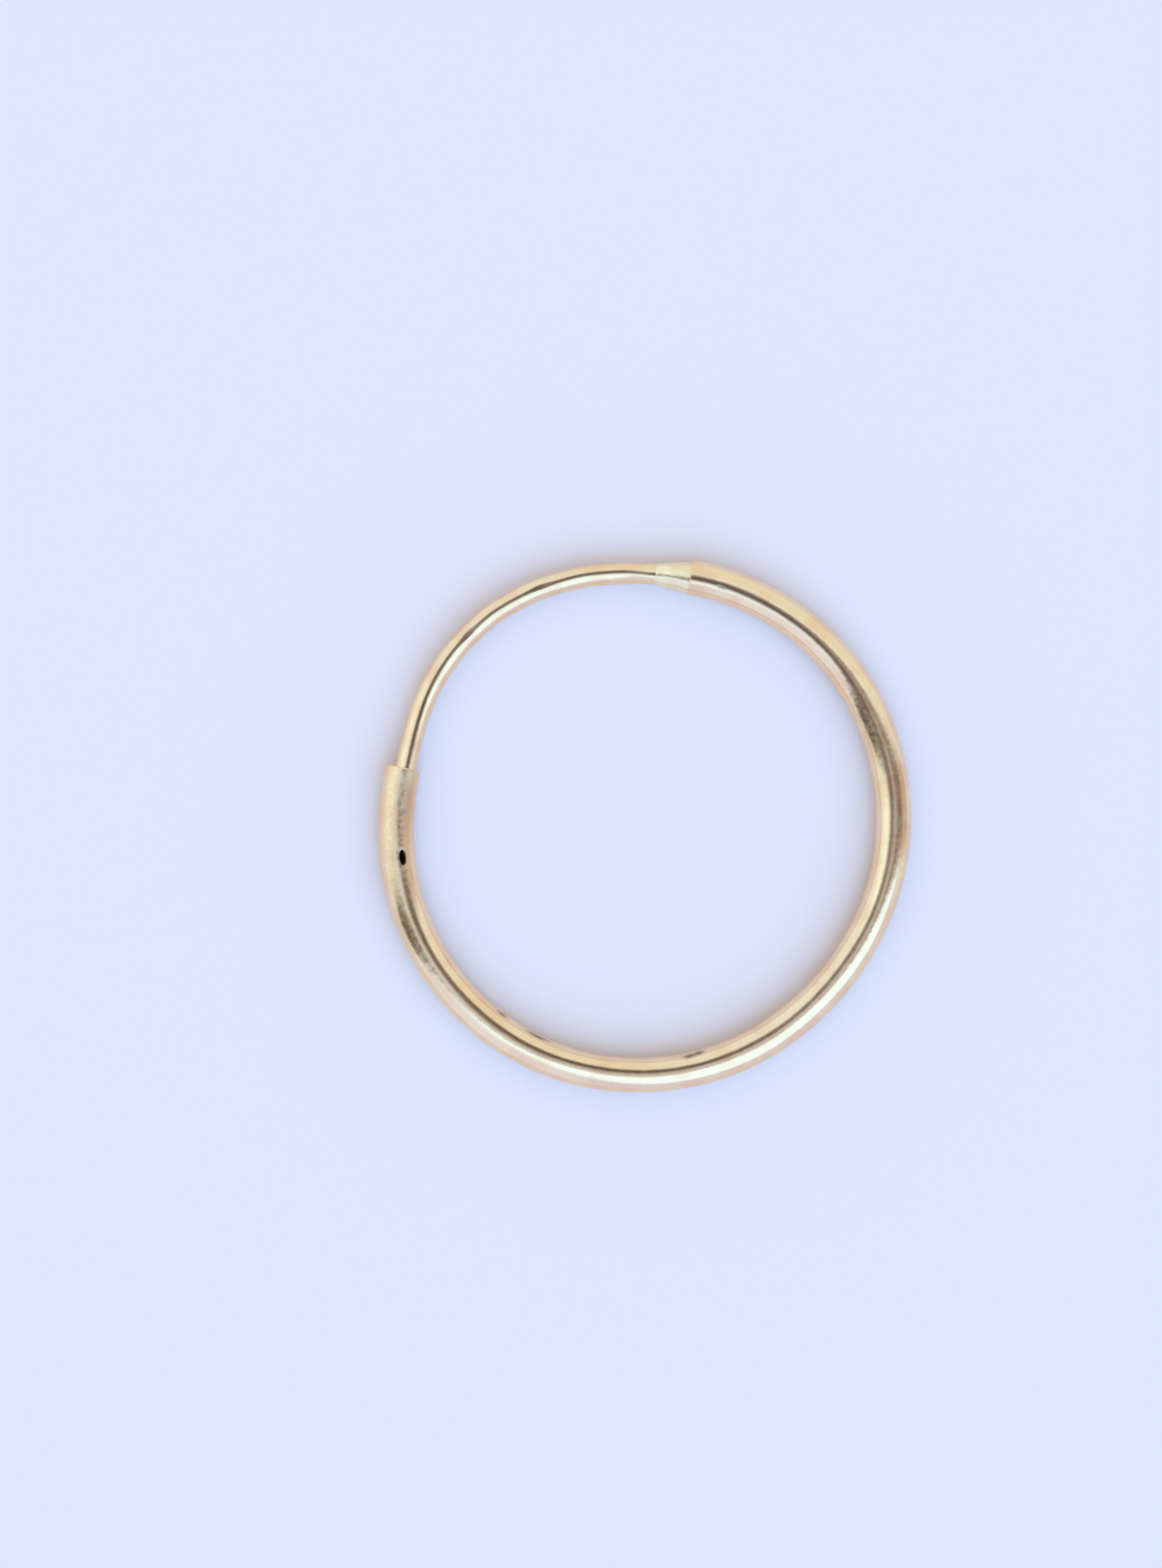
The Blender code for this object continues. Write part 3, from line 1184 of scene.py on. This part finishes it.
# Shape, azimuth, zenith, half across, half down, softness, colour and strength. A later card
# covers an earlier one.
CARDS = (
    # Pale, past the hoop's upper right
    Card(CardShape.OVAL, 62.0, 66.0, 0.75, 0.9, 0.35, "#EBF6F8"),
    # Cool, past its lower left, with a brighter strip above
    Card(CardShape.OVAL, 242.0, 66.0, 0.60, 1.2, 0.30, "#CDDBFF", 1.33),
    Card(CardShape.OVAL, 239.0, 36.0, 0.50, 0.20, 0.60, "#C4D9FF", 1.5),
    # Cool, past its lower right
    Card(CardShape.OVAL, 302.0, 72.0, 0.95, 0.7, 0.35, "#C1CFFF", 1.34),
    # The broad soft light, from overhead down to the lower right
    Card(
        CardShape.BOX, 290.0, 0.0, 1.07, 1.02, 0.16, "#AECFF4", 2.30,
        off_across=0.62, off_down=0.98,
    ),
    # Grey and dark things to the right
    Card(CardShape.BOX, 3.0, 50.0, 0.22, 1.2, 0.35, "#C2BFC8"),
    Card(CardShape.BOX, 4.0, 32.0, 0.14, 0.34, 0.60, "#7C767C"),
    # Grey, bright and dark things to the left
    Card(
        CardShape.OVAL, 199.6, 0.0, 0.14, 0.62, 0.50, "#A399A7",
        off_across=0.05, off_down=0.69,
    ),
    Card(CardShape.OVAL, 176.0, 44.0, 0.26, 0.46, 0.50, "#D5EAF6", 1.52),
    Card(CardShape.OVAL, 204.0, 51.0, 0.12, 0.60, 0.40, "#5A5C55"),
)


@dataclass
class Surroundings:
    """What stands round the hoop: a pale room, with soft lights and dark things in it.

    The polished metal sees the cards. The surface under the hoop gets one even light, and the
    camera sees a plain pale backdrop.
    """

    room: str = "#DCEDFF"
    room_strength: float = 1.21
    backdrop: str = "#DFE6FE"
    fill: str = "#FFECDB"
    fill_strength: float = 0.91
    cards: tuple[Card, ...] = CARDS

    def build(self) -> None:
        """Sets up the world: cards for mirror rays, a backdrop for the camera, an even sky."""
        world = bpy.data.worlds.new("surroundings")
        bpy.context.scene.world = world
        world.use_nodes = True
        tree = world.node_tree
        tree.nodes.clear()
        ray = add_node(tree, "ShaderNodeTexCoord").outputs["Generated"]
        seen = add_node(
            tree,
            "ShaderNodeBackground",
            {"Color": linear_colour(self.room), "Strength": self.room_strength},
        ).outputs[0]
        for card in self.cards:
            paint = add_node(
                tree,
                "ShaderNodeBackground",
                {"Color": linear_colour(card.colour), "Strength": card.strength},
            ).outputs[0]
            seen = add_node(
                tree, "ShaderNodeMixShader", {0: card.mask(tree, ray), 1: seen, 2: paint}
            ).outputs[0]
        path = add_node(tree, "ShaderNodeLightPath")
        sky = add_node(
            tree,
            "ShaderNodeBackground",
            {"Color": linear_colour(self.fill), "Strength": self.fill_strength},
        ).outputs[0]
        plain = add_node(
            tree, "ShaderNodeBackground", {"Color": linear_colour(self.backdrop)}
        ).outputs[0]
        lit = add_node(
            tree,
            "ShaderNodeMixShader",
            {0: path.outputs["Is Glossy Ray"], 1: sky, 2: seen},
        ).outputs[0]
        shown = add_node(
            tree,
            "ShaderNodeMixShader",
            {0: path.outputs["Is Camera Ray"], 1: lit, 2: plain},
        ).outputs[0]
        add_node(tree, "ShaderNodeOutputWorld", {"Surface": shown})
        log.info("surroundings: %d cards", len(self.cards))


@dataclass
class DarkCamera:
    """The dark body of the camera above the hoop, which only the polished metal sees.

    It hangs close, because in the photograph both sides of the hoop mirror it a little
    towards the middle. It is a disc with a small hump, dark in the middle and clear at the rim.
    """

    middle: tuple[float, float, float] = (0.0012, 0.0035, 0.022)
    radius: float = 0.0117
    clear_share: float = 0.12  # of the radius, inside which it is fully dark
    hump: float = 0.0003
    rings: int = 12
    sides: int = 64
    colour: str = "#67616A"

    def build(self) -> None:
        """Makes the disc, z = middle + hump * (1 - s^2) at share s, and its soft edge."""
        share = np.linspace(0.0, 1.0, self.rings + 1)[1:]
        turn = np.arange(self.sides) * math.tau / self.sides
        x = np.outer(share, np.cos(turn)) * self.radius + self.middle[0]
        y = np.outer(share, np.sin(turn)) * self.radius + self.middle[1]
        z = np.outer(1.0 - share**2, np.ones(self.sides)) * self.hump + self.middle[2]
        top = np.array([[*self.middle[:2], self.middle[2] + self.hump]])
        points = np.concatenate([top, np.stack([x, y, z], axis=-1).reshape(-1, 3)])
        side = np.arange(self.sides)
        after = (side + 1) % self.sides
        ring = 1 + np.arange(self.rings - 1)[:, None] * self.sides
        quads = np.stack(
            [ring + side, ring + self.sides + side, ring + self.sides + after, ring + after],
            axis=-1,
        ).reshape(-1, 4)
        fan = np.stack([np.zeros_like(side), 1 + side, 1 + after], axis=-1)
        mesh = bpy.data.meshes.new("dark_camera")
        mesh.from_pydata(points.tolist(), [], fan.tolist() + quads.tolist())
        mesh.materials.append(self.material())
        card = bpy.data.objects.new("dark_camera", mesh)
        card.visible_camera = False
        card.visible_diffuse = False
        card.visible_shadow = False
        bpy.context.scene.collection.objects.link(card)
        log.info("dark camera: %.0f mm above the hoop", MM_PER_METRE * self.middle[2])

    def material(self) -> bpy.types.Material:
        """Makes the skin, dark and unlit in the middle, and clear towards the rim.

        It clears by a smooth step of the distance from the middle, from clear_share * radius
        to the radius.

        Returns:
            The material.
        """
        material = bpy.data.materials.new("dark_camera_body")
        material.use_nodes = True
        tree = material.node_tree
        tree.nodes.clear()
        place = add_node(tree, "ShaderNodeTexCoord").outputs["Object"]
        away = add_node(
            tree, "ShaderNodeVectorMath", {0: place, 1: self.middle}, operation="SUBTRACT"
        ).outputs[0]
        far = add_node(
            tree, "ShaderNodeVectorMath", {0: away}, operation="LENGTH"
        ).outputs["Value"]
        clear = add_node(
            tree,
            "ShaderNodeMapRange",
            {
                "Value": far,
                "From Min": self.radius * self.clear_share,
                "From Max": self.radius,
            },
            interpolation_type="SMOOTHSTEP",
        ).outputs["Result"]
        dark = add_node(
            tree, "ShaderNodeEmission", {"Color": linear_colour(self.colour)}
        ).outputs[0]
        through = add_node(tree, "ShaderNodeBsdfTransparent").outputs[0]
        skin = add_node(
            tree, "ShaderNodeMixShader", {0: clear, 1: dark, 2: through}
        ).outputs[0]
        add_node(tree, "ShaderNodeOutputMaterial", {"Surface": skin})
        return material


@dataclass
class SoftKey:
    """The broad cool light past the frame's lower right, which throws the soft shadows."""

    azimuth_deg: float = 300.0
    zenith_deg: float = 45.0
    distance: float = 4.0
    size: float = 5.6
    power: float = 142.0
    colour: str = "#92CEFF"

    def build(self) -> None:
        """Makes the light and turns it to the hoop, hidden from mirrors and cameras."""
        light = bpy.data.lights.new("soft_key", "AREA")
        light.shape = "DISK"
        light.size = self.size
        light.energy = self.power
        light.color = linear_colour(self.colour)[:3]
        holder = bpy.data.objects.new("soft_key", light)
        azimuth, zenith = math.radians(self.azimuth_deg), math.radians(self.zenith_deg)
        flat = Vector((math.cos(azimuth), math.sin(azimuth), 0.0)) * math.sin(zenith)
        toward = flat + Vector((0.0, 0.0, math.cos(zenith)))
        holder.location = toward * self.distance
        holder.rotation_euler = toward.to_track_quat("Z", "Y").to_euler()
        holder.visible_camera = False
        holder.visible_glossy = False
        bpy.context.scene.collection.objects.link(holder)
        log.info("soft key: %.2f m across", self.size)


@dataclass
class PaleSurface:
    """The smooth pale lavender card that the hoop lies on."""

    reach: float = 1.5
    squares: int = 8
    colour: str = "#DDE5FB"
    roughness: float = 0.9

    def build(self) -> None:
        """Makes a flat grid, z = 0."""
        row = self.squares + 1
        ticks = np.linspace(-self.reach, self.reach, row)
        x, y = np.meshgrid(ticks, ticks, indexing="ij")
        points = np.stack([x, y, np.zeros_like(x)], axis=-1).reshape(-1, 3)
        place = np.arange(self.squares)[:, None] * row
        place = (place + np.arange(self.squares)).reshape(-1)
        quads = np.stack([place, place + row, place + row + 1, place + 1], axis=-1)
        mesh = bpy.data.meshes.new("pale_surface")
        mesh.from_pydata(points.tolist(), [], quads.tolist())
        material = bpy.data.materials.new("matt_lavender_card")
        material.use_nodes = True
        shader = material.node_tree.nodes["Principled BSDF"]
        shader.inputs["Base Color"].default_value = linear_colour(self.colour)
        shader.inputs["Roughness"].default_value = self.roughness
        shader.inputs["Specular IOR Level"].default_value = 0.0
        mesh.materials.append(material)
        surface = bpy.data.objects.new("pale_surface", mesh)
        bpy.context.scene.collection.objects.link(surface)
        log.info("pale surface: %.1f m wide", 2 * self.reach)


@dataclass
class TopCamera:
    """The camera straight above the hoop, framed as the photograph is."""

    photo_width: float = 1206.0
    photo_height: float = 1627.0
    pixels_per_metre: float = 36750.0
    origin_px: tuple[float, float] = (669.3, 857.1)  # where the hoop's middle falls
    lens_mm: float = 72.0
    sensor_mm: float = 36.0  # on the frame's long side
    focus_height: float = TUBE_RADIUS  # of the plane that has this scale
    clip_start: float = 0.01
    clip_end: float = 10.0

    def build(self) -> None:
        """Places the camera at lens / sensor * frame height above the tube's middle."""
        camera = bpy.data.cameras.new("top_camera")
        camera.lens = self.lens_mm
        camera.sensor_width = self.sensor_mm
        camera.clip_start = self.clip_start
        camera.clip_end = self.clip_end
        frame_height = self.photo_height / self.pixels_per_metre
        across = (self.photo_width / 2.0 - self.origin_px[0]) / self.pixels_per_metre
        up = (self.origin_px[1] - self.photo_height / 2.0) / self.pixels_per_metre
        away = self.lens_mm / self.sensor_mm * frame_height
        holder = bpy.data.objects.new("top_camera", camera)
        holder.location = (across, up, self.focus_height + away)
        bpy.context.scene.collection.objects.link(holder)
        bpy.context.scene.camera = holder
        log.info("camera: %.0f mm above the hoop", MM_PER_METRE * away)


def main() -> None:
    """Builds the camera, the studio and the three pieces."""
    logging.basicConfig(level=logging.INFO, format="%(name)s: %(message)s")
    bpy.context.scene.view_settings.view_transform = "Standard"
    TopCamera().build()
    Surroundings().build()
    DarkCamera().build()
    SoftKey().build()
    PaleSurface().build()
    line = CentreLine()
    for part in (HoopTube(), SolderCollar(), EarWire()):
        register(part.build(line), part.finish.material())


if __name__ == "__main__":
    main()
